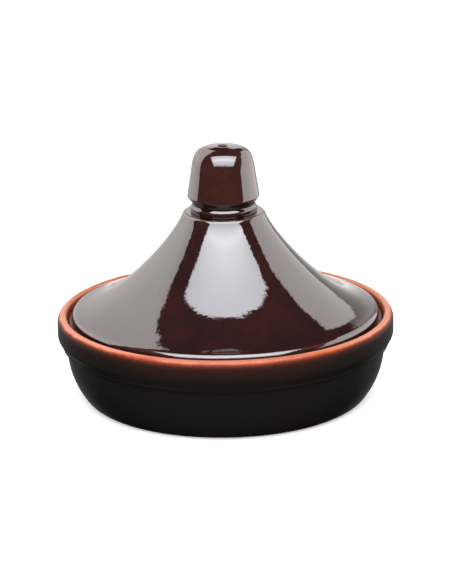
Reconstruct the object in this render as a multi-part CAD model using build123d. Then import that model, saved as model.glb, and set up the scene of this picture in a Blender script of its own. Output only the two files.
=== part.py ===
from build123d import *
import os
from math import cos, radians, sin

# A 28 cm glazed earthenware tagine: a shallow round dish, a flared conical lid and
# the hollow vented knob that is luted on the lid's crown. Millimetres, +Z up, origin at
# the centre of the dish's underside. Every piece is turned about the Z axis, so each one
# is drawn as an outline of (radius, height) points and spun once round.

# --- Dish ---------------------------------------------------------------------------
rim_diameter = 280.0        # across the outside of the collar band
dish_height = 73.5          # underside to the crest of the rim
dish_wall = 9.5             # side wall below the band
floor_thickness = 9.0
belly_inset = 7.6           # how far the belly's widest line lies inside the band
belly_run = 17.8            # how far the belly leans out between the base and the band
heel_rounding = 16.5        # outside corner between base and belly
inner_heel_rounding = 18.0  # inside corner between floor and belly

# --- Collar band and rim of the dish ----------------------------------------------
band_height = 27.5          # step under the band to the crest of the rim
lip_set_back = 3.7          # the band's lower lip lies this far inside its face
lip_height = 3.2            # straight part of the lower lip
band_slope_height = 6.0     # slope between the lip and the band's face
lip_rounding = 2.2
lip_hollow = 1.0            # soft hollow where the slope starts
band_rounding = 6.0         # soft corner where the slope meets the face
step_hollow = 1.2           # corner between the belly and the step
rim_outer_width = 5.3       # crest to the band's face
rim_outer_fall = 7.0        # height over which the rim rounds off outside
rim_inner_width = 2.6       # crest to the rim's inner face
rim_inner_fall = 3.0        # height over which the rim rounds off inside
rim_inner_rounding = 2.0
rim_inner_slope = 1.8       # how far the inner face leans in down to the gallery

# --- Gallery: the ledge inside the rim on which the lid rests -----------------------
gallery_depth = 7.0         # crest of the rim down to the ledge
gallery_corner = 1.5
ledge_rounding = 1.0

# --- Lid cone -------------------------------------------------------------------------
lid_gap = 2.5               # lid's edge to the gallery's wall, so that it drops in by hand
lid_edge_height = 8.8       # ledge to the lid's upper edge corner
cone_height = 92.5          # ledge to the crown
lid_wall = 7.0
lid_foot_width = 7.0        # ring that rests on the ledge
lid_foot_rounding = 1.0
lid_edge_rounding = 4.0
crown_radius = 34.0         # flat crown that carries the knob
crown_rounding = 1.9
crown_hollow = 6.0          # soft hollow under the crown
lid_foot_hollow = 1.2       # soft hollow where the underside meets the foot ring
flank_top_angle = 88.0      # steepness of the flank just below the crown, in degrees
flank_top_pull = 11.0       # how long the flank keeps that direction
flank_edge_angle = 5.0      # slope of the flank at the lid's edge, in degrees
flank_edge_pull = 41.0      # how long the flank keeps that direction
crown_hole_radius = 18.0

# --- Vent knob ------------------------------------------------------------------------
knob_height = 55.0          # crown to the top of the knob
knob_foot_radius = 27.4
knob_foot_height = 5.0
knob_foot_rounding = 0.8
neck_radius = 26.0          # bottom of the groove above the foot
neck_groove_height = 4.0
skirt_radius = 29.9         # widest part, the lower edge of the grip
skirt_start = 13.3          # crown to that lower edge
skirt_rounding = 1.6
shoulder_radius = 26.4      # grip where the shoulder starts
shoulder_start = 36.0       # crown to that height
shoulder_pull = 10.7
shoulder_lean = 7.0         # inward lean of the grip, in degrees
dome_radius = 14.0          # where the shoulder runs out into the flat dome
dome_rise = 0.7             # height of the dome over that radius
dome_pull = 9.1
dome_slope = 10.0           # slope of the shoulder where it meets the dome, in degrees
knob_wall = 6.5
vent_radius = 3.8
vent_rounding = 1.2
luting_gap = 0.3            # slip-filled gap between the knob's spigot and the crown hole
spigot_depth = 4.0
spigot_wall = 4.5

# --- Drawing ---------------------------------------------------------------------------
FLANK_STEPS = 8             # spans of the curve under the lid's flank
HOLLOW_SHARE = 0.5          # most of the foot ring's height that its hollow may take
FOOT_SHARE = 0.42           # and its bottom rounding

# --- Sizes that follow from the ones above --------------------------------------------
band_radius = rim_diameter / 2
belly_radius = band_radius - belly_inset
belly_height = dish_height - band_height
lip_radius = band_radius - lip_set_back
slope_start = belly_height + lip_height
slope_end = slope_start + band_slope_height
crest_radius = band_radius - rim_outer_width
rim_inner_radius = crest_radius - rim_inner_width
gallery_radius = rim_inner_radius - rim_inner_slope
ledge_height = dish_height - gallery_depth
belly_curve = (belly_run ** 2 + belly_height ** 2) / (2 * belly_run)
lid_radius = gallery_radius - lid_gap
crown_height = ledge_height + cone_height
spigot_radius = crown_hole_radius - luting_gap


def at_angle(start, angle, length):
    """The point reached from start after going length at angle degrees."""
    return (start[0] + length * cos(radians(angle)), start[1] + length * sin(radians(angle)))


def wall_inside(flank, position):
    """The point one lid wall inside the flank, at a position from 0 (edge) to 1 (crown)."""
    along = flank % position
    return flank @ position + Vector(-along.Y, along.X) * lid_wall


def rounded(outline, roundings):
    """The outline with its corners rounded, given as (point, radius) pairs."""
    for point, radius in roundings:
        corner = outline.vertices().sort_by_distance((point[0], point[1], 0))[0]
        outline = fillet(corner, radius)
    return outline


def turned(outline):
    """Spin a closed outline of (radius, height) once round the Z axis."""
    return revolve(Plane.XZ * outline, Axis.Z)


def dish():
    """The cooking dish: flat base, round belly, collar band, rounded rim and gallery."""
    base_corner = (belly_radius - belly_run, 0)
    belly_top = (belly_radius, belly_height)
    lip_corner = (lip_radius, belly_height)
    lip_top = (lip_radius, slope_start)
    band_corner = (band_radius, slope_end)
    rim_outer = (band_radius, dish_height - rim_outer_fall)
    crest = (crest_radius, dish_height)
    rim_inner = (rim_inner_radius, dish_height - rim_inner_fall)
    ledge_outer = (gallery_radius, ledge_height)
    ledge_inner = (belly_radius - dish_wall, ledge_height)
    inner_top = (belly_radius - dish_wall, belly_height)
    inner_curve = belly_curve - dish_wall
    floor_drop = belly_height - floor_thickness
    floor_corner_radius = belly_radius - belly_curve + (inner_curve ** 2 - floor_drop ** 2) ** 0.5
    floor_corner = (floor_corner_radius, floor_thickness)
    rim_outside = EllipticalCenterArc(
        (crest[0], rim_outer[1]), rim_outer_width, rim_outer_fall, arc_size=90
    )
    rim_inside = EllipticalCenterArc(
        (crest[0], rim_inner[1]), rim_inner_width, rim_inner_fall, start_angle=90, arc_size=90
    )
    edges = [
        Line((0, 0), base_corner),
        TangentArc(belly_top, base_corner, tangent=(0, -1)),
        Line(belly_top, lip_corner),
        Line(lip_corner, lip_top),
        Line(lip_top, band_corner),
        Line(band_corner, rim_outer),
        rim_outside,
        rim_inside,
        Line(rim_inner, ledge_outer),
        Line(ledge_outer, ledge_inner),
        Line(ledge_inner, inner_top),
        TangentArc(inner_top, floor_corner, tangent=(0, -1)),
        Line(floor_corner, (0, floor_thickness)),
        Line((0, floor_thickness), (0, 0)),
    ]
    roundings = [
        (base_corner, heel_rounding),
        (belly_top, step_hollow),
        (lip_corner, lip_rounding),
        (lip_top, lip_hollow),
        (band_corner, band_rounding),
        (rim_inner, rim_inner_rounding),
        (ledge_outer, gallery_corner),
        (ledge_inner, ledge_rounding),
        (floor_corner, inner_heel_rounding),
    ]
    return turned(rounded(make_face(edges), roundings))


def lid_cone():
    """The lid: an edge that stands on the gallery's ledge and a flank that flares up to
    a flat crown, open in the middle so that steam can reach the knob."""
    foot_outer = (lid_radius, ledge_height)
    edge_corner = (lid_radius, ledge_height + lid_edge_height)
    crown_edge = (crown_radius, crown_height)
    hole_top = (crown_hole_radius, crown_height)
    hole_foot = (crown_hole_radius, ledge_height)
    flank = Bezier(
        edge_corner,
        at_angle(edge_corner, 180 - flank_edge_angle, flank_edge_pull),
        at_angle(crown_edge, -flank_top_angle, flank_top_pull),
        crown_edge,
    )
    # The underside lies one wall inside the flank, between the foot ring and the crown.
    inside = Spline([wall_inside(flank, step / FLANK_STEPS) for step in range(FLANK_STEPS + 1)])
    foot_inner_radius = lid_radius - lid_foot_width
    crown_under = crown_height - lid_wall
    foot_inner = (foot_inner_radius, ledge_height)
    foot_line = Line(foot_inner, (foot_inner_radius, crown_height))
    crown_line = Line((crown_hole_radius, crown_under), (lid_radius, crown_under))
    foot_hollow = inside.intersect(foot_line)[0].center()
    crown_inner = inside.intersect(crown_line)[0].center()
    underside = inside.trim(inside.param_at_point(foot_hollow), inside.param_at_point(crown_inner))
    # A thick wall leaves the foot ring low, and its roundings shrink to fit its height.
    foot_ring_height = foot_hollow.Y - ledge_height
    hollow_rounding = min(lid_foot_hollow, HOLLOW_SHARE * foot_ring_height)
    foot_rounding = min(lid_foot_rounding, FOOT_SHARE * foot_ring_height)
    edges = [
        Line(foot_outer, edge_corner),
        flank,
        Line(crown_edge, (crown_hole_radius, crown_height)),
        Line((crown_hole_radius, crown_height), (crown_hole_radius, crown_under)),
        Line((crown_hole_radius, crown_under), crown_inner),
        underside,
        Line(foot_hollow, foot_inner),
        Line(foot_inner, foot_outer),
    ]
    roundings = [
        (foot_outer, foot_rounding),
        (edge_corner, lid_edge_rounding),
        (crown_edge, crown_rounding),
        ((crown_inner.X, crown_inner.Y), crown_hollow),
        ((foot_hollow.X, foot_hollow.Y), hollow_rounding),
        (foot_inner, foot_rounding),
    ]
    return turned(rounded(make_face(edges), roundings))


def vent_knob():
    """The hollow knob: a spigot in the crown hole, a foot on the crown, a grooved neck,
    a tapered grip, and a steam vent through the top of its dome."""
    knob_top = crown_height + knob_height
    foot_top = crown_height + knob_foot_height
    groove_top = foot_top + neck_groove_height
    skirt_height = crown_height + skirt_start
    shoulder_height = crown_height + shoulder_start
    seat_outer = (knob_foot_radius, crown_height)
    seat_inner = (spigot_radius, crown_height)
    spigot_outer = (spigot_radius, crown_height - spigot_depth)
    spigot_inner = (spigot_radius - spigot_wall, crown_height - spigot_depth)
    foot_corner = (knob_foot_radius, foot_top)
    groove_end = (knob_foot_radius - knob_foot_rounding / 2, groove_top)
    skirt_corner = (skirt_radius, skirt_height)
    shoulder = (shoulder_radius, shoulder_height)
    dome_edge = (dome_radius, knob_top - dome_rise)
    vent_mouth = (vent_radius, knob_top)
    vent_bottom = (vent_radius, knob_top - knob_wall)
    # The chamber keeps the wall's thickness inside the grip and shoulder.
    chamber_dome = (dome_radius - knob_wall, knob_top - knob_wall)
    chamber_shoulder = (shoulder_radius - knob_wall, shoulder_height)
    chamber_skirt = (skirt_radius - knob_wall, skirt_height)
    chamber_neck = (neck_radius - knob_wall, foot_top + neck_groove_height / 2)
    chamber_foot = (spigot_inner[0], crown_height + knob_foot_height / 2)
    grip_angle = 90 + shoulder_lean
    edges = [
        Line(seat_inner, seat_outer),
        Line(seat_outer, foot_corner),
        ThreePointArc(foot_corner, (neck_radius, foot_top + neck_groove_height / 2), groove_end),
        Line(groove_end, skirt_corner),
        Line(skirt_corner, shoulder),
        Bezier(
            shoulder,
            at_angle(shoulder, grip_angle, shoulder_pull),
            at_angle(dome_edge, -dome_slope, dome_pull),
            dome_edge,
        ),
        Line(dome_edge, vent_mouth),
        Line(vent_mouth, vent_bottom),
        Line(vent_bottom, chamber_dome),
        Bezier(
            chamber_dome,
            at_angle(chamber_dome, -dome_slope, dome_pull),
            at_angle(chamber_shoulder, grip_angle, shoulder_pull - knob_wall / 2),
            chamber_shoulder,
        ),
        Line(chamber_shoulder, chamber_skirt),
        Line(chamber_skirt, chamber_neck),
        Line(chamber_neck, chamber_foot),
        Line(chamber_foot, spigot_inner),
        Line(spigot_inner, spigot_outer),
        Line(spigot_outer, seat_inner),
    ]
    roundings = [
        (foot_corner, knob_foot_rounding),
        (skirt_corner, skirt_rounding),
        (vent_mouth, vent_rounding),
        (chamber_skirt, knob_wall),
    ]
    return turned(rounded(make_face(edges), roundings))


os.makedirs("parts", exist_ok=True)
export_step(dish(), "parts/dish.step")
export_step(lid_cone(), "parts/lid_cone.step")
export_step(vent_knob(), "parts/vent_knob.step")
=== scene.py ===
"""The looks of a glazed tagine pot: a dish, a conical lid and its vented knob, in a plain studio.

Sizes are in millimetres, as a potter would write them down, and become metres when a mesh is made.
"""

import logging
import math
from dataclasses import dataclass
from enum import Enum
from typing import Callable, Sequence, Union

import bpy
from mathutils import Matrix, Vector


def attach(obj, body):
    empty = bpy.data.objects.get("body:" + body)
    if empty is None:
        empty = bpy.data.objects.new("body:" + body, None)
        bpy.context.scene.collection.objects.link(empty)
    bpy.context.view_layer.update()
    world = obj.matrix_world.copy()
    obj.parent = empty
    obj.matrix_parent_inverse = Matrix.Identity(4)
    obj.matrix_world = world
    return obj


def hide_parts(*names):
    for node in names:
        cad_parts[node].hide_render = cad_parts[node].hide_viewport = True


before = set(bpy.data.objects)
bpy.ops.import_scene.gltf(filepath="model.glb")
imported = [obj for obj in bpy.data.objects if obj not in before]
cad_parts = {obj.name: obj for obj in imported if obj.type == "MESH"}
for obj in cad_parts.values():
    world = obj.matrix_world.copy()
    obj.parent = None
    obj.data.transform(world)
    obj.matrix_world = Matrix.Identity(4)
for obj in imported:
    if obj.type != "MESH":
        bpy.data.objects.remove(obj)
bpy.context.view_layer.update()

LOG = logging.getLogger("tagine")
MM = 0.001
BEZIER_QUARTER = 0.5523
WIDE_TURN = 192
NARROW_TURN = 128
MOTTLE = (0.38, 0.62)
MOTTLE_WIDE = (0.3, 0.7)
PEEL_GRAINS = 310.0
RIPPLE_GRAINS = 85.0

Thing = bpy.types.Object
Material = bpy.types.Material
Socket = bpy.types.NodeSocket
Value = Union[Socket, float]
Point = tuple[float, float]
Colour = tuple[float, float, float]
Ring = tuple[float, float, float, float]  # radius, height, how far it reaches, how strong it is


class Body(Enum):
    """The bodies of the pot that a piece can ride on."""

    DISH = "dish"
    LID = "lid"


class Slot(Enum):
    """The finishes that the pot's record names."""

    DISH_GLAZE = "dish_glaze"
    LID_GLAZE = "lid_glaze"


# --- outlines ---


@dataclass(frozen=True)
class Stretch:
    """One cubic Bezier stretch of an outline, from start to end, as points of radius and height."""

    start: Vector
    first: Vector
    second: Vector
    end: Vector

    @classmethod
    def straight(cls, start: Vector, end: Vector) -> "Stretch":
        """Returns the stretch that runs straight from start to end."""
        return cls(start, start.lerp(end, 1 / 3), start.lerp(end, 2 / 3), end)

    def cut(self, share: float) -> tuple["Stretch", "Stretch"]:
        """Cuts the stretch in two by de Casteljau's construction.

        Args:
            share: where to cut, from 0 at the start to 1 at the end.

        Returns:
            The part before the cut and the part after it.
        """
        one = self.start.lerp(self.first, share)
        two = self.first.lerp(self.second, share)
        three = self.second.lerp(self.end, share)
        low, high = one.lerp(two, share), two.lerp(three, share)
        middle = low.lerp(high, share)
        return Stretch(self.start, one, low, middle), Stretch(middle, high, three, self.end)

    def point(self, share: float) -> Vector:
        """Returns the point at a share of the way along."""
        return self.cut(share)[0].end

    def heading(self, share: float) -> Vector:
        """Returns the unit vector in which the stretch runs at a share of the way along."""
        before, after = self.cut(min(max(share, 0.001), 0.999))
        return (after.first - before.second).normalized()

    def length(self, steps: int = 24) -> float:
        """Returns the length along the stretch, measured over short chords."""
        points = [self.point(i / steps) for i in range(steps + 1)]
        return sum((b - a).length for a, b in zip(points, points[1:]))

    def share_at(self, distance: float, steps: int = 60) -> float:
        """Finds how far along a distance from the start lies.

        Args:
            distance: how far to go along the stretch.
            steps: how many chords to count in.

        Returns:
            The share of the way, from 0 to 1.
        """
        walked, here = 0.0, self.start
        for i in range(1, steps + 1):
            there = self.point(i / steps)
            step = (there - here).length
            if walked + step >= distance:
                return (i - 1 + (distance - walked) / step) / steps
            walked, here = walked + step, there
        return 1.0

    def trimmed(self, from_start: float, from_end: float) -> "Stretch":
        """Shortens the stretch at both ends.

        Args:
            from_start: the length to leave out at the start.
            from_end: the length to leave out at the end.

        Returns:
            What is left of it.
        """
        total = self.length()
        kept = self.cut(self.share_at(total - from_end))[0] if from_end else self
        return kept.cut(kept.share_at(from_start))[1] if from_start else kept

    def left_of(self, share: float, distance: float) -> Vector:
        """Returns the point a distance to the left of the one at a share of the way along."""
        heading = self.heading(share)
        return self.point(share) + Vector((-heading.y, heading.x)) * distance

    def beside(self, distance: float) -> "Stretch":
        """Returns a stretch that runs alongside.

        Args:
            distance: how far to the left, or to the right if it is negative.

        Returns:
            The stretch beside this one.
        """
        start, end = self.left_of(0.0, distance), self.left_of(1.0, distance)
        scale = (end - start).length / (self.end - self.start).length
        return Stretch(start, start + (self.first - self.start) * scale,
                       end + (self.second - self.end) * scale, end)


class Outline:
    """Half of a thrown piece's section: stretches joined at corners, each with its own rounding."""

    LONGEST = 8.0

    def __init__(self, start: Point) -> None:
        """Starts an outline at a point of radius and height."""
        self.at = Vector(start)
        self.stretches: list[Stretch] = []
        self.roundings: list[float] = []
        self.closed = False

    def add(self, stretch: Stretch, rounding: float = 0.0) -> "Outline":
        """Adds a stretch, and the rounding of the corner at its end."""
        self.stretches.append(stretch)
        self.roundings.append(rounding)
        self.at = stretch.end
        return self

    def line(self, end: Point, rounding: float = 0.0) -> "Outline":
        """Runs straight on to a corner."""
        return self.add(Stretch.straight(self.at, Vector(end)), rounding)

    def bend(self, first: Vector, second: Vector, end: Point, rounding: float = 0.0) -> "Outline":
        """Runs on in one free curve, pulled by two handles."""
        return self.add(Stretch(self.at, Vector(first), Vector(second), Vector(end)), rounding)

    def arc(self, centre: Point, end: Point, rounding: float = 0.0) -> "Outline":
        """Runs on in an arc of a circle.

        Args:
            centre: the circle's centre.
            end: where the arc ends, as far from the centre as where it starts.
            rounding: the rounding of the corner at its end.

        Returns:
            The outline itself.
        """
        out, back = self.at - Vector(centre), Vector(end) - Vector(centre)
        turn = math.atan2(out.x * back.y - out.y * back.x, out.dot(back))
        pull = 4 / 3 * math.tan(turn / 4)
        first = self.at + Vector((-out.y, out.x)) * pull
        second = Vector(end) - Vector((-back.y, back.x)) * pull
        return self.bend(first, second, end, rounding)

    def quarter(self, centre: Point, end: Point, rounding: float = 0.0) -> "Outline":
        """Runs on in a quarter of an ellipse round a centre."""
        out, back = self.at - Vector(centre), Vector(end) - Vector(centre)
        pull = BEZIER_QUARTER
        return self.bend(self.at + back * pull, Vector(end) + out * pull, end, rounding)

    def close(self, rounding: float = 0.0) -> "Outline":
        """Runs straight back to where the outline started."""
        self.closed = True
        return self.line(tuple(self.stretches[0].start), rounding)

    def softened(self) -> list[Stretch]:
        """Rounds every corner that asks for it.

        Returns:
            The trimmed stretches, with a short bend at each rounded corner.
        """
        count = len(self.stretches)
        cuts = [[0.0, 0.0] for _ in range(count)]
        for i, rounding in enumerate(self.roundings):
            follower = (i + 1) % count
            if rounding and (self.closed or follower):
                turn = self.stretches[i].heading(1.0).angle(self.stretches[follower].heading(0.0))
                cuts[i][1] = cuts[follower][0] = rounding * math.tan(turn / 2)
        kept = [s.trimmed(*cut) for s, cut in zip(self.stretches, cuts)]
        result: list[Stretch] = []
        for i, rounding in enumerate(self.roundings):
            result.append(kept[i])
            if cuts[i][1]:
                follower = kept[(i + 1) % count]
                going, coming = kept[i].heading(1.0), follower.heading(0.0)
                pull = 4 / 3 * math.tan(going.angle(coming) / 4) * rounding
                result.append(Stretch(kept[i].end, kept[i].end + going * pull,
                                      follower.start - coming * pull, follower.start))
        return result

    def pieces(self) -> list[Stretch]:
        """Returns the softened stretches, with the long ones divided."""
        result: list[Stretch] = []
        for stretch in self.softened():
            parts = max(1, math.ceil(stretch.length() / self.LONGEST))
            for left in range(parts, 1, -1):
                part, stretch = stretch.cut(1 / left)
                result.append(part)
            result.append(stretch)
        return result


class Wheel:
    """Throws a piece from its outline, as on a potter's wheel."""

    MERGE = 1e-6
    CREASE = math.radians(35)

    def __init__(self, steps: int, fineness: int = 4) -> None:
        """Sets how many steps make a turn, and into how many edges each stretch divides."""
        self.steps = steps
        self.fineness = fineness

    def draw(self, name: str, outline: Outline) -> Thing:
        """Draws an outline as a flat curve in the plane of X and Z.

        Args:
            name: the piece's name.
            outline: what to draw.

        Returns:
            The curve, made a mesh of edges.
        """
        stretches = outline.pieces()
        knots = [stretch.start for stretch in stretches]
        leaving = [stretch.first for stretch in stretches]
        arriving = [stretch.second for stretch in stretches]
        if outline.closed:
            arriving = arriving[-1:] + arriving[:-1]
        else:
            knots.append(stretches[-1].end)
            leaving.append(stretches[-1].end)
            arriving.insert(0, stretches[0].start)
        bpy.ops.object.select_all(action="DESELECT")
        bpy.ops.curve.primitive_bezier_curve_add(location=(0, 0, 0), rotation=(0, 0, 0))
        curve = bpy.context.object
        spline = curve.data.splines[0]
        spline.bezier_points.add(len(knots) - 2)
        for point, co, left, right in zip(spline.bezier_points, knots, arriving, leaving):
            point.handle_left_type = point.handle_right_type = "FREE"
            point.co, point.handle_left, point.handle_right = (
                Vector((p.x, 0, p.y)) * MM for p in (co, left, right))
        spline.use_cyclic_u = outline.closed
        spline.resolution_u = self.fineness
        bpy.ops.object.convert(target="MESH")
        piece = bpy.context.object
        piece.name = piece.data.name = name
        return piece

    def throw(self, name: str, outline: Outline) -> Thing:
        """Spins an outline round the pot's axis.

        Args:
            name: the piece's name.
            outline: half of the piece's section.

        Returns:
            The piece, closed, with its faces outwards.
        """
        piece = self.draw(name, outline)
        bpy.ops.object.mode_set(mode="EDIT")
        bpy.ops.mesh.select_all(action="SELECT")
        bpy.ops.mesh.spin(steps=self.steps, angle=2 * math.pi, center=(0, 0, 0), axis=(0, 0, 1))
        bpy.ops.mesh.select_all(action="SELECT")
        bpy.ops.mesh.remove_doubles(threshold=self.MERGE)
        bpy.ops.mesh.normals_make_consistent(inside=False)
        bpy.ops.object.mode_set(mode="OBJECT")
        return piece

    def by_hand(self, piece: Thing, swell: float, patch: float,
                free: Callable[[float, float], float]) -> None:
        """Gives a thrown piece the slight waves that hands leave, away from its seats.

        Args:
            piece: the thrown piece.
            swell: how far apart the lowest and highest places are.
            patch: how wide a wave is.
            free: says of a radius and a height how freely the clay there may wave, from 0 to 1.
        """
        group = piece.vertex_groups.new(name="free")
        for vertex in piece.data.vertices:
            share = free(math.hypot(vertex.co.x, vertex.co.y) / MM, vertex.co.z / MM)
            group.add([vertex.index], min(max(share, 0.0), 1.0), "REPLACE")
        cloud = bpy.data.textures.new(piece.name + "_waves", "CLOUDS")
        cloud.noise_scale = patch * MM
        cloud.noise_depth = 1
        wave = piece.modifiers.new("waves", "DISPLACE")
        wave.texture = cloud
        wave.texture_coords = "LOCAL"
        wave.strength = swell * MM
        wave.mid_level = 0.5
        wave.vertex_group = group.name
        bpy.ops.object.modifier_apply(modifier=wave.name)
        piece.vertex_groups.clear()

    def finish(self, piece: Thing, material: Material) -> None:
        """Smooths a piece's shading and gives it its glaze."""
        bpy.ops.object.shade_smooth_by_angle(angle=self.CREASE)
        piece.data.materials.clear()
        piece.data.materials.append(material)


# --- glazes ---


class Recipe:
    """A material's nodes while they are being put together."""

    def __init__(self, name: str) -> None:
        """Starts a material that reads its own place on the piece."""
        self.material = bpy.data.materials.new(name)
        self.material.use_nodes = True
        self.tree = self.material.node_tree
        self.shader = self.tree.nodes["Principled BSDF"]
        self.place = self.node("ShaderNodeTexCoord").outputs["Object"]
        parts = self.node("ShaderNodeSeparateXYZ", Vector=self.place)
        self.across, self.along, self.height = parts.outputs
        self.radius = self.span(self.across, self.along)

    def node(self, kind: str, **inputs: Value) -> bpy.types.Node:
        """Adds a node of a kind and feeds its inputs."""
        node = self.tree.nodes.new(kind)
        self.feed(node, **inputs)
        return node

    def feed(self, node: bpy.types.Node, **inputs: Value) -> None:
        """Leads sockets, or sets numbers, into a node's inputs, named with _ for each space."""
        for name, value in inputs.items():
            self.link(value, node.inputs[name.replace("_", " ")])

    def link(self, source: Value, target: Socket) -> None:
        """Leads a socket, or sets a number, into a socket."""
        if isinstance(source, bpy.types.NodeSocket):
            self.tree.links.new(source, target)
        else:
            target.default_value = source

    def sum(self, operation: str, *values: Value) -> Socket:
        """Works out one sum of sockets and numbers.

        Args:
            operation: what the Math node does.
            values: what it does it to.

        Returns:
            The result.
        """
        node = self.node("ShaderNodeMath")
        node.operation = operation
        for value, target in zip(values, node.inputs):
            self.link(value, target)
        return node.outputs[0]

    def plus(self, one: Value, other: Value) -> Socket:
        """Adds two values."""
        return self.sum("ADD", one, other)

    def minus(self, value: Value, taken: Value) -> Socket:
        """Takes one value from another."""
        return self.sum("SUBTRACT", value, taken)

    def times(self, one: Value, other: Value) -> Socket:
        """Multiplies two values."""
        return self.sum("MULTIPLY", one, other)

    def most(self, one: Value, other: Value) -> Socket:
        """Gives the greater of two values."""
        return self.sum("MAXIMUM", one, other)

    def span(self, one: Socket, other: Socket) -> Socket:
        """Gives the length of the diagonal of two values."""
        return self.sum("SQRT", self.plus(self.times(one, one), self.times(other, other)))

    def wander(self, noise: Socket, width: float) -> Socket:
        """Turns noise about 0.5 into an offset about 0, of a width."""
        return self.times(self.minus(noise, 0.5), width)

    def fade(self, value: Socket, low: float, high: float) -> Socket:
        """Rises smoothly from 0 to 1 as a value goes from low to high.

        Args:
            value: what is watched.
            low: where the result is 0.
            high: where it is 1; below low if it is to fall.

        Returns:
            The result.
        """
        first, last, start, end = (high, low, 1.0, 0.0) if high < low else (low, high, 0.0, 1.0)
        node = self.node("ShaderNodeMapRange", Value=value, From_Min=first, From_Max=last,
                         To_Min=start, To_Max=end)
        node.interpolation_type = "SMOOTHSTEP"
        return node.outputs[0]

    def speckle(self, scale: float, detail: float = 3.0, roughness: float = 0.55,
                place: Union[Socket, None] = None) -> Socket:
        """Makes noise with grains of about 1/scale metres.

        Args:
            scale: how many grains go into a metre.
            detail: how many finer sizes are added.
            roughness: how strong the finer sizes are.
            place: where to read it, or the place on the piece.

        Returns:
            The noise, about 0.5.
        """
        return self.node("ShaderNodeTexNoise", Vector=place or self.place, Scale=scale, Detail=detail,
                         Roughness=roughness).outputs[0]

    def colours(self, value: Socket, stops: Sequence[tuple[float, Colour]],
                low: float = 0.0, high: float = 1.0) -> Socket:
        """Turns a value into a colour by a row of stops.

        Args:
            value: what the colour goes by.
            stops: values with their colours, lowest first.
            low: the value at the row's start.
            high: the value at the row's end.

        Returns:
            The colour.
        """
        node = self.node("ShaderNodeValToRGB")
        scaled = self.sum("DIVIDE", self.minus(value, low), high - low)
        self.link(scaled, node.inputs[0])
        row = node.color_ramp.elements
        while len(row) < len(stops):
            row.new(0.5)
        for element, (at, colour) in zip(row, stops):
            element.position = (at - low) / (high - low)
            element.color = (*colour, 1.0)
        return node.outputs[0]

    def blend(self, share: Value, under: Union[Socket, Colour], over: Union[Socket, Colour]) -> Socket:
        """Lays one colour over another.

        Args:
            share: how much of the upper colour shows.
            under: the lower colour.
            over: the upper colour.

        Returns:
            The colour that results.
        """
        node = self.node("ShaderNodeMix")
        node.data_type = "RGBA"
        self.link(share, node.inputs[0])
        for colour, target in ((under, node.inputs[6]), (over, node.inputs[7])):
            if isinstance(colour, tuple):
                target.default_value = (*colour, 1.0)
            else:
                self.link(colour, target)
        return node.outputs[2]

    def relief(self, *layers: tuple[Socket, float]) -> None:
        """Raises the surface by layers of noise, each with its height in millimetres.

        Args:
            layers: each layer's noise and how high it stands.
        """
        normal: Union[Socket, None] = None
        for noise, height in layers:
            bump = self.node("ShaderNodeBump", Height=noise, Distance=height * MM, Strength=1.0)
            if normal:
                self.link(normal, bump.inputs["Normal"])
            normal = bump.outputs[0]
        self.feed(self.shader, Normal=normal)

    def near_ring(self, radius: float, height: float) -> Socket:
        """Gives how far a place is from a ring round the axis."""
        return self.span(self.minus(self.radius, radius * MM), self.minus(self.height, height * MM))


@dataclass(frozen=True)
class BareClay:
    """Fired red clay where no glaze covers it, with specks of grog."""

    light: Colour = (0.42, 0.155, 0.075)
    dark: Colour = (0.24, 0.075, 0.035)
    grog: Colour = (0.55, 0.33, 0.22)

    def colour(self, mix: Recipe) -> Socket:
        """Mixes the clay's colour in a recipe.

        Args:
            mix: the material that shows the clay.

        Returns:
            The colour.
        """
        cloudy = mix.fade(mix.speckle(45.0, 5.0), *MOTTLE_WIDE)
        body = mix.blend(cloudy, self.dark, self.light)
        specks = mix.fade(mix.speckle(900.0, 2.0), 0.66, 0.74)
        return mix.blend(specks, body, self.grog)


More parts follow.
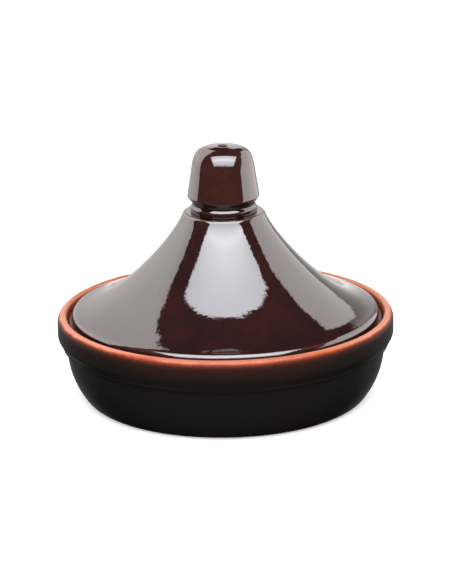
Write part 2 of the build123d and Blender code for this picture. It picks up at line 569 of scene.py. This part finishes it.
@dataclass(frozen=True)
class LidGlaze:
    """A thick, glossy, dark red-brown glaze that breaks to orange where it runs thin on an edge,
    darkened with painted shade round its recesses.
    """

    name: str
    deep: Colour
    warm: Colour
    thin: Colour
    thin_edges: tuple[Ring, ...]
    # rings round the recesses where the glaze is darkened with painted shade
    shaded_recesses: tuple[Ring, ...]
    bare_below: float
    # the near-black colour of the painted shade in the recesses
    recess_shade: Colour = (0.0050, 0.0034, 0.0034)
    gloss: float = 0.022
    peel: float = 0.050
    ripple: float = 0.10
    seams: bool = False
    seams_end: float = 200.0
    seam_height: float = 0.05
    ragged: float = 1.4
    uneven: float = 0.012
    recess_shade_core: float = 0.5
    edge_core: float = 0.35

    def material(self) -> Material:
        """Makes the glaze.

        Returns:
            The material.
        """
        mix = Recipe(self.name)
        clouds = mix.speckle(28.0, 5.0, 0.6)
        flecks = mix.speckle(170.0, 4.0, 0.6)
        mixed = mix.plus(mix.times(clouds, 0.65), mix.times(flecks, 0.35))
        mottle = mix.fade(mixed, *MOTTLE)
        colour = mix.blend(mottle, self.deep, self.warm)
        jitter = mix.wander(mix.speckle(260.0, 3.0), self.ragged * MM)
        # painted shade: darken the glaze towards each recess ring
        for radius, height, reach, share in self.shaded_recesses:
            away = mix.near_ring(radius, height)
            near = mix.fade(away, reach * MM, reach * self.recess_shade_core * MM)
            colour = mix.blend(mix.times(near, share), colour, self.recess_shade)
        for radius, height, reach, share in self.thin_edges:
            away = mix.plus(mix.near_ring(radius, height), jitter)
            near = mix.fade(away, reach * MM, reach * self.edge_core * MM)
            colour = mix.blend(mix.times(near, share), colour, self.thin)
        bare = mix.fade(mix.height, (self.bare_below + 0.15) * MM, (self.bare_below - 0.15) * MM)
        colour = mix.blend(bare, colour, BareClay().colour(mix))
        rough = mix.plus(mix.times(flecks, self.uneven), self.gloss - self.uneven / 2)
        rough = mix.plus(rough, mix.times(bare, 0.75))
        rough = mix.plus(rough, mix.fade(mix.radius, 4.4 * MM, 3.9 * MM))
        mix.feed(mix.shader, Base_Color=colour, Roughness=rough, IOR=1.5)
        peel = mix.speckle(PEEL_GRAINS, 2.0)
        ripple = mix.speckle(RIPPLE_GRAINS, 1.0)
        layers = [(ripple, self.ripple), (peel, self.peel)]
        if self.seams:
            side = mix.sum("ABSOLUTE", mix.across)
            low = mix.fade(mix.height, self.seams_end * MM, (self.seams_end - 8.0) * MM)
            layers.append((mix.times(mix.fade(side, 0.0011, 0.0), low), self.seam_height))
        mix.relief(*layers)
        return mix.material


@dataclass(frozen=True)
class DishGlaze:
    """The dish's glaze: satin black outside, thin and orange over the rim, glossy brown within."""

    name: str = "dish_glaze_finish"
    wall_middle: float = 63.5
    belly_centre: Point = (64.1, 46.0)
    crest_radius: float = 134.7
    ledge_height: float = 66.5
    outside: tuple[tuple[float, Colour], ...] = (
        (40.0, (0.0050, 0.0044, 0.0044)),
        (55.0, (0.0060, 0.0046, 0.0044)),
        (60.0, (0.0095, 0.0050, 0.0042)),
        (65.0, (0.0150, 0.0062, 0.0045)),
        (68.0, (0.0280, 0.0085, 0.0055)),
        (70.0, (0.090, 0.018, 0.0090)),
        (71.6, (0.260, 0.052, 0.024)),
        (72.6, (0.430, 0.110, 0.052)),
        (73.7, (0.510, 0.165, 0.090)),
    )
    lip_inside: tuple[tuple[float, Colour], ...] = (
        (66.0, (0.100, 0.024, 0.014)),
        (68.5, (0.230, 0.055, 0.030)),
        (71.0, (0.420, 0.110, 0.054)),
        (73.6, (0.450, 0.130, 0.064)),
    )
    within: Colour = (0.024, 0.0078, 0.0068)
    within_warm: Colour = (0.040, 0.0125, 0.0090)
    satin: float = 0.42
    gloss: float = 0.30
    rim_coat: float = 0.35
    lip_coat: float = 0.14
    runs: float = 2.0
    ragged: float = 1.0
    border: float = 71.8
    sharper_aside: float = 0.9

    def material(self) -> Material:
        """Makes the glaze.

        Returns:
            The material.
        """
        mix = Recipe(self.name)
        runs = mix.plus(mix.wander(mix.speckle(38.0, 4.0), self.runs * MM),
                           mix.wander(mix.speckle(300.0, 3.0), self.ragged * MM))
        aside = mix.fade(mix.sum("ABSOLUTE", mix.across), 0.05, 0.13)
        level = mix.plus(mix.height, runs)
        steeper = mix.times(aside, mix.minus(level, self.border * MM))
        level = mix.plus(level, mix.times(steeper, self.sharper_aside))
        outer, inner = (mix.colours(level, [(z * MM, c) for z, c in stops], 40.0 * MM, 74.0 * MM)
                        for stops in (self.outside, self.lip_inside))
        mottle = mix.fade(mix.speckle(30.0, 5.0, 0.6), *MOTTLE)
        bowl = mix.blend(mottle, self.within, self.within_warm)
        inside, lip = self.inside(mix), self.lip(mix)
        colour = mix.blend(inside, outer, bowl)
        colour = mix.blend(lip, colour, inner)
        foot = mix.fade(mix.height, 0.9 * MM, 0.35 * MM)
        colour = mix.blend(foot, colour, BareClay().colour(mix))
        shine = mix.most(mix.most(mix.fade(level, 64.0 * MM, 71.0 * MM), inside), lip)
        grain = mix.speckle(240.0, 4.0, 0.6)
        rough = mix.plus(self.satin, mix.times(shine, self.gloss - self.satin))
        rough = mix.plus(rough, mix.wander(grain, 0.10))
        rough = mix.plus(rough, mix.times(foot, 0.45))
        crest = mix.times(mix.fade(level, 70.5 * MM, 72.8 * MM), self.rim_coat)
        clear = mix.most(mix.most(inside, mix.times(lip, self.lip_coat)), crest)
        mix.feed(mix.shader, Base_Color=colour, Roughness=rough, IOR=1.08, Coat_Weight=clear,
                    Coat_Roughness=0.12, Coat_IOR=1.5)
        peel = mix.speckle(PEEL_GRAINS, 2.0)
        ripple = mix.speckle(RIPPLE_GRAINS, 1.0)
        rings = mix.speckle(1.0, 2.0, 0.5, self.turning(mix))
        mix.relief((ripple, 0.035), (rings, 0.020), (peel, 0.006), (grain, 0.012))
        return mix.material

    def inside(self, mix: Recipe) -> Socket:
        """Marks the bowl within: nearer to the belly's centre than the middle of its wall.

        Args:
            mix: the material that shows it.

        Returns:
            1 within the bowl, 0 elsewhere.
        """
        radius, height = self.belly_centre
        out = mix.most(mix.minus(mix.radius, radius * MM), 0.0)
        down = mix.sum("MINIMUM", mix.minus(mix.height, height * MM), 0.0)
        middle = self.wall_middle
        near = mix.fade(mix.span(out, down), (middle + 0.5) * MM, (middle - 0.5) * MM)
        return mix.times(near, mix.fade(mix.height, 4.0 * MM, 5.0 * MM))

    def lip(self, mix: Recipe) -> Socket:
        """Marks the rim's inner side, from the gallery's ledge up."""
        crest, ledge = self.crest_radius, self.ledge_height
        return mix.times(mix.fade(mix.radius, (crest + 0.6) * MM, (crest - 0.6) * MM),
                            mix.fade(mix.height, (ledge - 0.6) * MM, (ledge - 0.1) * MM))

    @staticmethod
    def turning(mix: Recipe) -> Socket:
        """Gives a place that changes mostly with height, for the marks that turning leaves.

        Args:
            mix: the material that shows the marks.

        Returns:
            The place, stretched along the rings.
        """
        join = mix.node("ShaderNodeCombineXYZ")
        stretched = ((mix.across, 6.0), (mix.along, 6.0), (mix.height, 240.0))
        for (value, scale), target in zip(stretched, join.inputs):
            mix.link(mix.times(value, scale), target)
        return join.outputs[0]


# --- the pot ---


@dataclass(frozen=True)
class Thrown:
    """A piece of the pot, thrown on the wheel."""

    node: str
    body: Body
    slot: Slot
    turn: int
    swell: float
    patch: float

    def outline(self) -> Outline:
        """Draws half of the piece's section."""
        raise NotImplementedError

    def free(self, radius: float, height: float) -> float:
        """Says how freely the clay may wave at a place, from 0 to 1."""
        raise NotImplementedError

    def glaze(self) -> Material:
        """Mixes the piece's glaze."""
        raise NotImplementedError

    def build(self) -> Thing:
        """Throws, glazes and seats the piece.

        Returns:
            The finished piece, which rides on its body and stands for its plain node.
        """
        wheel = Wheel(self.turn)
        piece = wheel.throw(self.node + "_thrown", self.outline())
        wheel.by_hand(piece, self.swell, self.patch, self.free)
        wheel.finish(piece, self.glaze())
        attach(piece, self.body.value)
        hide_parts(self.node)
        return piece


@dataclass(frozen=True)
class Dish(Thrown):
    """The deep round dish: a curved belly, an upright band and a rim with a gallery for the lid."""

    node: str = "dish"
    body: Body = Body.DISH
    slot: Slot = Slot.DISH_GLAZE
    turn: int = WIDE_TURN
    swell: float = 0.35
    patch: float = 60.0
    foot_radius: float = 114.6
    belly_radius: float = 132.4
    belly_height: float = 46.0
    belly_curve: float = 68.3
    heel_rounding: float = 16.5
    inner_heel_rounding: float = 18.0
    wall: float = 9.5
    floor: float = 9.0
    lip_radius: float = 136.3
    lip_top: float = 49.2
    band_radius: float = 140.0
    band_bottom: float = 55.2
    ledge_height: float = 66.5
    rim_height: float = 73.5
    crest_radius: float = 134.7
    rim_inner_radius: float = 132.1
    rim_inner_height: float = 70.5
    gallery_radius: float = 130.3
    step_rounding: float = 1.2
    lip_fillet: float = 2.2
    lip_rounding: float = 1.0
    band_rounding: float = 6.0
    rim_inner_rounding: float = 2.0
    gallery_corner: float = 1.5
    ledge_rounding: float = 1.0

    def outline(self) -> Outline:
        """Draws half of the dish's section, from the middle of its foot round to that of its floor.

        Returns:
            The outline, open at the axis.
        """
        inner = self.belly_radius - self.wall
        centre = (self.belly_radius - self.belly_curve, self.belly_height)
        reach = self.belly_curve - self.wall
        floor_radius = centre[0] + math.sqrt(reach ** 2 - (self.belly_height - self.floor) ** 2)
        belly_top = (self.belly_radius, self.belly_height)
        rim_inner = (self.rim_inner_radius, self.rim_inner_height)
        return (Outline((0.0, 0.0))
                .line((self.foot_radius, 0.0), self.heel_rounding)
                .arc(centre, belly_top, self.step_rounding)
                .line((self.lip_radius, self.belly_height), self.lip_fillet)
                .line((self.lip_radius, self.lip_top), self.lip_rounding)
                .line((self.band_radius, self.band_bottom), self.band_rounding)
                .line((self.band_radius, self.ledge_height))
                .quarter((self.crest_radius, self.ledge_height), (self.crest_radius, self.rim_height))
                .quarter((self.crest_radius, self.rim_inner_height), rim_inner, self.rim_inner_rounding)
                .line((self.gallery_radius, self.ledge_height), self.gallery_corner)
                .line((inner, self.ledge_height), self.ledge_rounding)
                .line((inner, self.belly_height))
                .arc(centre, (floor_radius, self.floor), self.inner_heel_rounding)
                .line((0.0, self.floor)))

    def free(self, radius: float, height: float) -> float:
        """Says how freely the clay may wave: not at the foot, on the ledge or inside the rim."""
        return min(height / 20, max((radius - self.rim_inner_radius) / 3, (60 - height) / 20))

    def glaze(self) -> Material:
        """Mixes the dish's glaze."""
        return DishGlaze().material()


@dataclass(frozen=True)
class LidCone(Thrown):
    """The lid's flared cone, hollow beneath, with a round hole in its flat crown."""

    node: str = "lid_cone"
    body: Body = Body.LID
    slot: Slot = Slot.LID_GLAZE
    turn: int = WIDE_TURN
    swell: float = 0.40
    patch: float = 55.0
    edge_radius: float = 127.8
    foot_height: float = 66.5
    edge_height: float = 75.3
    crown_radius: float = 34.0
    crown_height: float = 159.0
    hole_radius: float = 18.0
    wall: float = 7.0
    edge_pull: float = 41.0
    edge_angle: float = 5.0
    crown_pull: float = 11.0
    crown_angle: float = 88.0
    divisions: int = 10
    foot_rounding: float = 1.0
    foot_hollow: float = 1.2
    edge_rounding: float = 4.0
    crown_rounding: float = 1.9
    crown_hollow: float = 5.0
    hole_rounding: float = 0.8

    def flank(self) -> Stretch:
        """Returns the outer curve of the cone, from its edge up to its crown."""
        edge = Vector((self.edge_radius, self.edge_height))
        crown = Vector((self.crown_radius, self.crown_height))
        low, high = math.radians(180 - self.edge_angle), math.radians(-self.crown_angle)
        return Stretch(edge, edge + Vector((math.cos(low), math.sin(low))) * self.edge_pull,
                       crown + Vector((math.cos(high), math.sin(high))) * self.crown_pull, crown)

    def underside(self) -> list[Stretch]:
        """Draws the inner curve, one wall inside the flank, from the crown down to the foot.

        Returns:
            Its stretches in order.
        """
        flank = self.flank()
        ceiling, foot = self.crown_height - self.wall, self.edge_radius - self.wall

        def first_share(passed: Callable[[Vector], bool]) -> float:
            """Returns the first share at which a test of the inner point holds."""
            low, high = 0.0, 1.0
            for _ in range(40):
                middle = (low + high) / 2
                past = passed(flank.left_of(middle, self.wall))
                low, high = (low, middle) if past else (middle, high)
            return high

        start = first_share(lambda p: p.x < foot)
        end = first_share(lambda p: p.y > ceiling)
        rest = flank.cut(end)[0].cut(start / end)[1]
        parts: list[Stretch] = []
        for left in range(self.divisions, 0, -1):
            part, rest = rest.cut(1 / left) if left > 1 else (rest, rest)
            beside = part.beside(self.wall)
            parts.append(Stretch(beside.end, beside.second, beside.first, beside.start))
        return parts[::-1]

    def outline(self) -> Outline:
        """Draws half of the cone's section.

        Returns:
            The outline, closed.
        """
        flank = self.flank()
        under = self.underside()
        outline = (Outline((self.edge_radius, self.foot_height))
                   .line((self.edge_radius, self.edge_height), self.edge_rounding)
                   .add(flank, self.crown_rounding)
                   .line((self.hole_radius, self.crown_height), self.hole_rounding)
                   .line((self.hole_radius, self.crown_height - self.wall), self.hole_rounding)
                   .line(tuple(under[0].start), self.crown_hollow))
        for stretch in under:
            outline.add(stretch)
        outline.roundings[-1] = self.foot_hollow
        foot_inner = (self.edge_radius - self.wall, self.foot_height)
        return outline.line(foot_inner, self.foot_rounding).close(self.foot_rounding)

    def free(self, radius: float, height: float) -> float:
        """Says how freely the clay may wave: not at the foot or on the crown."""
        return min((height - self.foot_height) / 12, (radius - self.crown_radius + 4) / 12)

    def glaze(self) -> Material:
        """Mixes the cone's glaze, which runs thin on the crown's edge and is darkened with painted
        shade on the crown round the knob's foot.
        """
        return LidGlaze("lid_glaze_cone", deep=(0.0155, 0.0066, 0.0066), warm=(0.0232, 0.0079, 0.0073),
                        thin=(0.34, 0.130, 0.095),
                        thin_edges=((self.crown_radius - 0.5, self.crown_height - 0.4, 0.9, 0.36),
                                    (self.edge_radius - 0.5, self.edge_height - 0.5, 2.0, 0.10)),
                        # painted shade on the crown's ledge round the knob's foot, standing in for the
                        # dark neck that the ledge reflects
                        shaded_recesses=((self.crown_radius - 6.0, self.crown_height, 5.0, 0.85),),
                        bare_below=self.foot_height + 0.6).material()


@dataclass(frozen=True)
class VentKnob(Thrown):
    """The hollow knob luted to the crown, with the steam vent in its top."""

    node: str = "vent_knob"
    body: Body = Body.LID
    slot: Slot = Slot.LID_GLAZE
    turn: int = NARROW_TURN
    swell: float = 0.30
    patch: float = 26.0
    base: float = 159.0
    height: float = 55.0
    foot_radius: float = 27.4
    foot_height: float = 5.0
    neck_radius: float = 26.0
    groove_height: float = 4.0
    skirt_radius: float = 29.9
    skirt_start: float = 13.3
    shoulder_radius: float = 26.4
    shoulder_start: float = 36.0
    shoulder_pull: float = 10.7
    shoulder_lean: float = 7.0
    dome_radius: float = 14.0
    dome_rise: float = 0.7
    dome_pull: float = 9.1
    dome_slope: float = 10.0
    wall: float = 6.5
    vent_radius: float = 3.8
    spigot_radius: float = 17.7
    spigot_wall: float = 4.5
    spigot_depth: float = 4.0
    foot_rounding: float = 0.5
    foot_top_rounding: float = 0.8
    skirt_rounding: float = 1.6
    vent_rounding: float = 1.2
    vent_end_rounding: float = 0.5
    hollow_rounding: float = 6.5
    neck_rounding: float = 2.0
    bore_rounding: float = 1.0
    seat_corner: float = 0.3

    def outline(self) -> Outline:
        """Draws half of the knob's section.

        Returns:
            The outline, closed.
        """
        def up(radius: float, height: float) -> Point:
            """Returns a point whose height is counted from the crown."""
            return (radius, self.base + height)

        def heading(degrees: float) -> Vector:
            """Returns the unit vector at an angle."""
            return Vector((math.cos(math.radians(degrees)), math.sin(math.radians(degrees))))

        top = self.height
        shoulder = Vector(up(self.shoulder_radius, self.shoulder_start))
        dome = Vector(up(self.dome_radius, top - self.dome_rise))
        bore = self.spigot_radius - self.spigot_wall
        ceiling = top - self.wall
        return (Outline(up(self.spigot_radius, 0))
                .line(up(self.foot_radius, 0), self.foot_rounding)
                .line(up(self.foot_radius, self.foot_height), self.foot_top_rounding)
                .bend(up(self.neck_radius + 0.2, self.foot_height + 0.5),
                      up(self.neck_radius - 0.4, self.foot_height + 2.6),
                      up(self.foot_radius - 0.4, self.foot_height + self.groove_height))
                .line(up(self.skirt_radius, self.skirt_start), self.skirt_rounding)
                .line(tuple(shoulder))
                .bend(shoulder + heading(90 + self.shoulder_lean) * self.shoulder_pull,
                      dome + heading(-self.dome_slope) * self.dome_pull, tuple(dome))
                .line(up(self.vent_radius, top), self.vent_rounding)
                .line(up(self.vent_radius, ceiling), self.vent_end_rounding)
                .line(up(7.5, ceiling))
                .bend(up(14.0, ceiling), up(19.0, self.shoulder_start + 7),
                      up(19.9, self.shoulder_start))
                .line(up(self.skirt_radius - self.wall, self.skirt_start), self.hollow_rounding)
                .line(up(19.5, self.foot_height + 2), self.neck_rounding)
                .line(up(bore, 2.5), self.bore_rounding)
                .line(up(bore, -self.spigot_depth), self.foot_rounding)
                .line(up(self.spigot_radius, -self.spigot_depth), self.foot_rounding)
                .close(self.seat_corner))

    def free(self, radius: float, height: float) -> float:
        """Says how freely the clay may wave: not at the seat or round the vent."""
        return min((height - self.base - 2) / 8, (radius - 8) / 6)

    def glaze(self) -> Material:
        """Mixes the knob's glaze, with painted shade under its skirt, where its foot meets the crown,
        and in its vent.
        """
        top, foot_top = self.base + self.height, self.base + self.foot_height
        return LidGlaze("lid_glaze_knob", deep=(0.0205, 0.0074, 0.0068), warm=(0.0300, 0.0098, 0.0080),
                        thin=(0.20, 0.060, 0.040),
                        thin_edges=((self.foot_radius - 0.2, foot_top - 0.4, 0.9, 0.10),
                                    (self.vent_radius + 0.3, top - 0.3, 1.0, 0.25)),
                        # painted shade: under the skirt, where the foot meets the crown, and down the
                        # vent
                        shaded_recesses=((self.foot_radius - 0.5, self.base + 8.5, 5.5, 0.85),
                               (self.foot_radius + 1.0, self.base, 3.5, 0.7),
                               (self.vent_radius, top - 3.4, 3.4, 1.0)),
                        bare_below=self.base - 0.2, gloss=0.03, peel=0.03, ripple=0.06,
                        seams=True).material()


# --- the studio ---


# Each panel's edges, as planes through the pot: a normal, and how far the plane is pushed outwards.
HORIZON = (0, 0, 1, 0.14)
LEFT_EDGES = ((0.01, 1, 0), (-0.228, 0.895, -0.383), (-0.499, 0.685, -0.531), (-0.842, 0.296, -0.451),
              (-0.995, -0.09, 0), HORIZON)
RIGHT_EDGES = ((0.388, 0.782, -0.489), (0.618, 0.394, -0.679), (0.819, -0.490, 0.297),
               (0.937, -0.238, -0.255), HORIZON)
BEHIND_EDGES = ((-0.85, 0.527, 0), (0.99, 0.14, 0.0), (0.479, 0.343, -0.808), (0, 0, 1, 0.10))
GROUND_EDGES = ((0, 1, 1.2), (0, 0, -1))

# How bright each panel is along its length, or the softbox from its foot to its top.
KEY_STRENGTHS = ((-0.50, 11.0), (-0.30, 12.0), (-0.10, 14.5), (0.04, 17.5), (0.14, 19.5),
                 (0.24, 17.3), (0.42, 15.0), (0.58, 13.7), (0.90, 12.4))
LEFT_STRENGTHS = ((0.0, 5.0), (0.35, 4.8), (0.50, 4.0), (0.65, 3.1), (0.80, 2.2), (0.90, 1.7),
                  (1.0, 1.25))
RIGHT_STRENGTHS = ((-0.4, 5.6), (0.10, 5.2), (0.28, 4.7), (0.44, 4.15), (0.57, 3.5), (0.67, 3.05),
                   (0.77, 2.6), (0.90, 2.0))
BEHIND_STRENGTHS = ((-0.2, 1.6), (0.12, 1.7), (0.20, 1.25), (0.30, 0.75), (0.45, 0.55))


class Tent(Recipe):
    """A dome of white cloth round the pot that only its gloss sees, lit in a few places."""

    RADIUS = 3.0
    WARM: Colour = (1.02, 0.995, 0.985)
    COOL: Colour = (0.955, 0.985, 1.05)

    def __init__(self) -> None:
        """Starts the dome's cloth, which reads the direction from the pot."""
        super().__init__("studio_tent")
        turn = self.node("ShaderNodeVectorMath", Vector=self.place)
        turn.operation = "NORMALIZE"
        self.direction = turn.outputs[0]
        self.light: Value = 0.0
        self.tint: Value = 0.0

    def towards(self, axis: Sequence[float]) -> Socket:
        """Gives how far a direction goes along an axis.

        Args:
            axis: the axis.

        Returns:
            The dot product of the two.
        """
        node = self.node("ShaderNodeVectorMath")
        node.operation = "DOT_PRODUCT"
        self.link(self.direction, node.inputs[0])
        node.inputs[1].default_value = Vector(axis).normalized()
        return node.outputs["Value"]

    def within(self, edges: Sequence[Sequence[float]], softness: float) -> Socket:
        """Marks the directions on the inner side of every edge.

        Args:
            edges: each edge as the normal of the plane through the pot and it, and if need be how far
                the plane is pushed outwards.
            softness: how wide its blur is.

        Returns:
            1 inside, 0 outside.
        """
        least: Value = 1.0
        for edge in edges:
            inwards = self.plus(self.towards(edge[:3]), sum(edge[3:]))
            least = self.sum("MINIMUM", least, inwards)
        return self.fade(least, -softness, softness)

    def add_light(self, mask: Socket, strength: Value) -> None:
        """Hangs a light of a strength where a mask is 1, in front of what is dimmer."""
        self.light = self.most(self.light, self.times(mask, strength))

    def profile(self, value: Socket, stops: Sequence[Point], low: float, high: float) -> Socket:
        """Turns a value into a strength by a row of stops.

        Args:
            value: what the strength goes by.
            stops: values with their strengths, lowest first.
            low: the value at the row's start.
            high: the value at the row's end.

        Returns:
            The strength.
        """
        most = max(strength for _, strength in stops)
        grey = self.colours(value, [(at, (s / most,) * 3) for at, s in stops], low, high)
        return self.times(grey, most)

    def hang(self) -> Thing:
        """Hangs the dome.

        Returns:
            The dome.
        """
        bpy.ops.object.select_all(action="DESELECT")
        bpy.ops.mesh.primitive_uv_sphere_add(segments=96, ring_count=48, radius=self.RADIUS)
        dome = bpy.context.object
        dome.name = dome.data.name = "studio_tent"
        bpy.ops.object.shade_smooth()
        tinted = self.blend(self.tint, self.WARM, self.COOL)
        glow = self.node("ShaderNodeEmission", Strength=self.light, Color=tinted)
        self.tree.links.new(glow.outputs[0], self.tree.nodes["Material Output"].inputs["Surface"])
        self.tree.nodes.remove(self.shader)
        dome.data.materials.append(self.material)
        dome.visible_camera = dome.visible_diffuse = dome.visible_shadow = False
        dome.visible_transmission = dome.visible_volume_scatter = False
        return dome


@dataclass(frozen=True)
class Studio:
    """A pale floor, a soft light above the camera, and the panels that the glaze reflects."""

    target: tuple[float, float, float] = (0.0, 0.0, 0.0891)
    distance: float = 2.40
    elevation: float = 17.1
    roll: float = -0.9
    lens: float = 178.15
    key_tilt: float = 45.0
    key_aside: float = 0.05
    key_reach: float = 0.775
    key_flare: float = 0.08
    key_distance: float = 2.2
    key_size: float = 2.4
    daylight: float = 1.0
    key_power: float = 60.0
    floor_size: float = 12.0
    floor_colour: Colour = (0.93, 0.93, 0.93)
    floor_glow: float = 0.35
    ground_glow: float = 0.75

    @staticmethod
    def facing(degrees: float) -> Vector:
        """Returns the direction from the pot to the front, so many degrees above level."""
        return Vector((0, -math.cos(math.radians(degrees)), math.sin(math.radians(degrees))))

    def panels(self) -> None:
        """Lights the tent: a broad softbox in front, a wide panel on the left, a strip on the right."""
        tent = Tent()
        self.softbox(tent)
        back = tent.towards((0, 1, 0))
        low = tent.plus(tent.times(tent.fade(tent.towards((0, 0, 1)), -0.05, 0.30), 0.25), 0.75)
        left = tent.within(LEFT_EDGES, 0.015)
        tent.add_light(left, tent.times(low, tent.profile(back, LEFT_STRENGTHS, -0.1, 1.1)))
        right = tent.within(RIGHT_EDGES, 0.012)
        tent.add_light(right, tent.profile(back, RIGHT_STRENGTHS, -0.5, 1.1))
        across = tent.towards((1, 0, 0))
        behind = tent.within(BEHIND_EDGES, 0.02)
        tent.add_light(behind, tent.profile(across, BEHIND_STRENGTHS, -0.5, 0.6))
        tent.add_light(tent.within(GROUND_EDGES, 0.02), self.ground_glow)
        tent.hang()

    def softbox(self, tent: Tent) -> None:
        """Hangs the softbox, a tall box that widens upwards and is brightest a little above its middle.

        Args:
            tent: the tent that it hangs in.
        """
        facing = self.facing(self.key_tilt)
        ahead = tent.most(tent.towards(facing), 0.05)
        sideways = tent.sum("DIVIDE", tent.towards((1, 0, 0)), ahead)
        side = tent.sum("ABSOLUTE", tent.minus(sideways, self.key_aside))
        rise = tent.sum("DIVIDE", tent.towards((0, facing.z, -facing.y)), ahead)
        reach = tent.plus(tent.times(rise, self.key_flare), self.key_reach)
        beyond = tent.minus(side, reach)
        key = tent.times(tent.fade(beyond, 0.03, -0.03),
                         tent.times(tent.fade(rise, -0.50, -0.34), tent.fade(rise, 0.90, 0.84)))
        spread = tent.minus(1.0, tent.times(tent.times(side, side), 0.22))
        tent.add_light(key, tent.times(tent.profile(rise, KEY_STRENGTHS, -0.6, 1.0), spread))
        tent.tint = key

    def floor(self) -> Thing:
        """Lays the floor, which isn't there for an eye below it.

        Returns:
            The floor.
        """
        bpy.ops.object.select_all(action="DESELECT")
        bpy.ops.mesh.primitive_plane_add(size=self.floor_size, location=(0, 0, 0))
        floor = bpy.context.object
        floor.name = floor.data.name = "studio_floor"
        mix = Recipe("studio_floor")
        paint = mix.blend(mix.fade(mix.speckle(6.0, 2.0), *MOTTLE_WIDE), self.floor_colour,
                             tuple(c * 0.99 for c in self.floor_colour))
        mix.feed(mix.shader, Base_Color=paint, Roughness=0.9, Specular_IOR_Level=0.0,
                    Emission_Color=(1, 1, 1, 1), Emission_Strength=self.floor_glow)
        clear = mix.node("ShaderNodeBsdfTransparent")
        choice = mix.node("ShaderNodeMixShader")
        mix.link(mix.node("ShaderNodeNewGeometry").outputs["Backfacing"], choice.inputs[0])
        mix.tree.links.new(mix.shader.outputs[0], choice.inputs[1])
        mix.tree.links.new(clear.outputs[0], choice.inputs[2])
        mix.tree.links.new(choice.outputs[0], mix.tree.nodes["Material Output"].inputs["Surface"])
        floor.data.materials.append(mix.material)
        floor.visible_glossy = False
        return floor

    def daylight_world(self) -> None:
        """Fills the studio with even white light that the gloss doesn't see."""
        world = bpy.data.worlds.new("studio")
        bpy.context.scene.world = world
        world.use_nodes = True
        sky = world.node_tree.nodes["Background"]
        sky.inputs["Color"].default_value = (1, 1, 1, 1)
        sky.inputs["Strength"].default_value = self.daylight
        world.cycles_visibility.glossy = False

    def key_light(self) -> Thing:
        """Hangs the soft light that shapes what isn't gloss.

        Returns:
            The light.
        """
        place = self.facing(self.key_tilt) * self.key_distance
        bpy.ops.object.light_add(type="AREA", location=place)
        light = bpy.context.object
        light.name = "studio_key"
        light.rotation_euler = place.to_track_quat("Z", "Y").to_euler()
        light.data.shape = "SQUARE"
        light.data.size = self.key_size
        light.data.energy = self.key_power
        light.visible_glossy = light.visible_camera = False
        return light

    def camera(self) -> Thing:
        """Sets up the camera.

        Returns:
            The camera, made the scene's own.
        """
        away = self.facing(self.elevation)
        data = bpy.data.cameras.new("camera")
        camera = bpy.data.objects.new("camera", data)
        bpy.context.collection.objects.link(camera)
        data.lens = self.lens
        data.sensor_width = 36.0
        data.clip_start, data.clip_end = 0.05, 50.0
        roll = Matrix.Rotation(math.radians(self.roll), 3, "Z")
        turn = away.to_track_quat("Z", "Y").to_matrix() @ roll
        place = Vector(self.target) + away * self.distance
        camera.matrix_world = Matrix.Translation(place) @ turn.to_4x4()
        bpy.context.scene.camera = camera
        return camera

    def build(self) -> None:
        """Sets up the whole studio."""
        self.daylight_world()
        self.panels()
        self.floor()
        self.key_light()
        self.camera()
        bpy.context.scene.view_settings.view_transform = "Standard"


def main() -> None:
    """Makes every piece of the pot and then the studio."""
    logging.basicConfig(level=logging.INFO, format="%(name)s: %(message)s")
    for part in (Dish(), LidCone(), VentKnob()):
        piece = part.build()
        LOG.info("%s: %d faces", piece.name, len(piece.data.polygons))
    Studio().build()


if __name__ == "__main__":
    main()
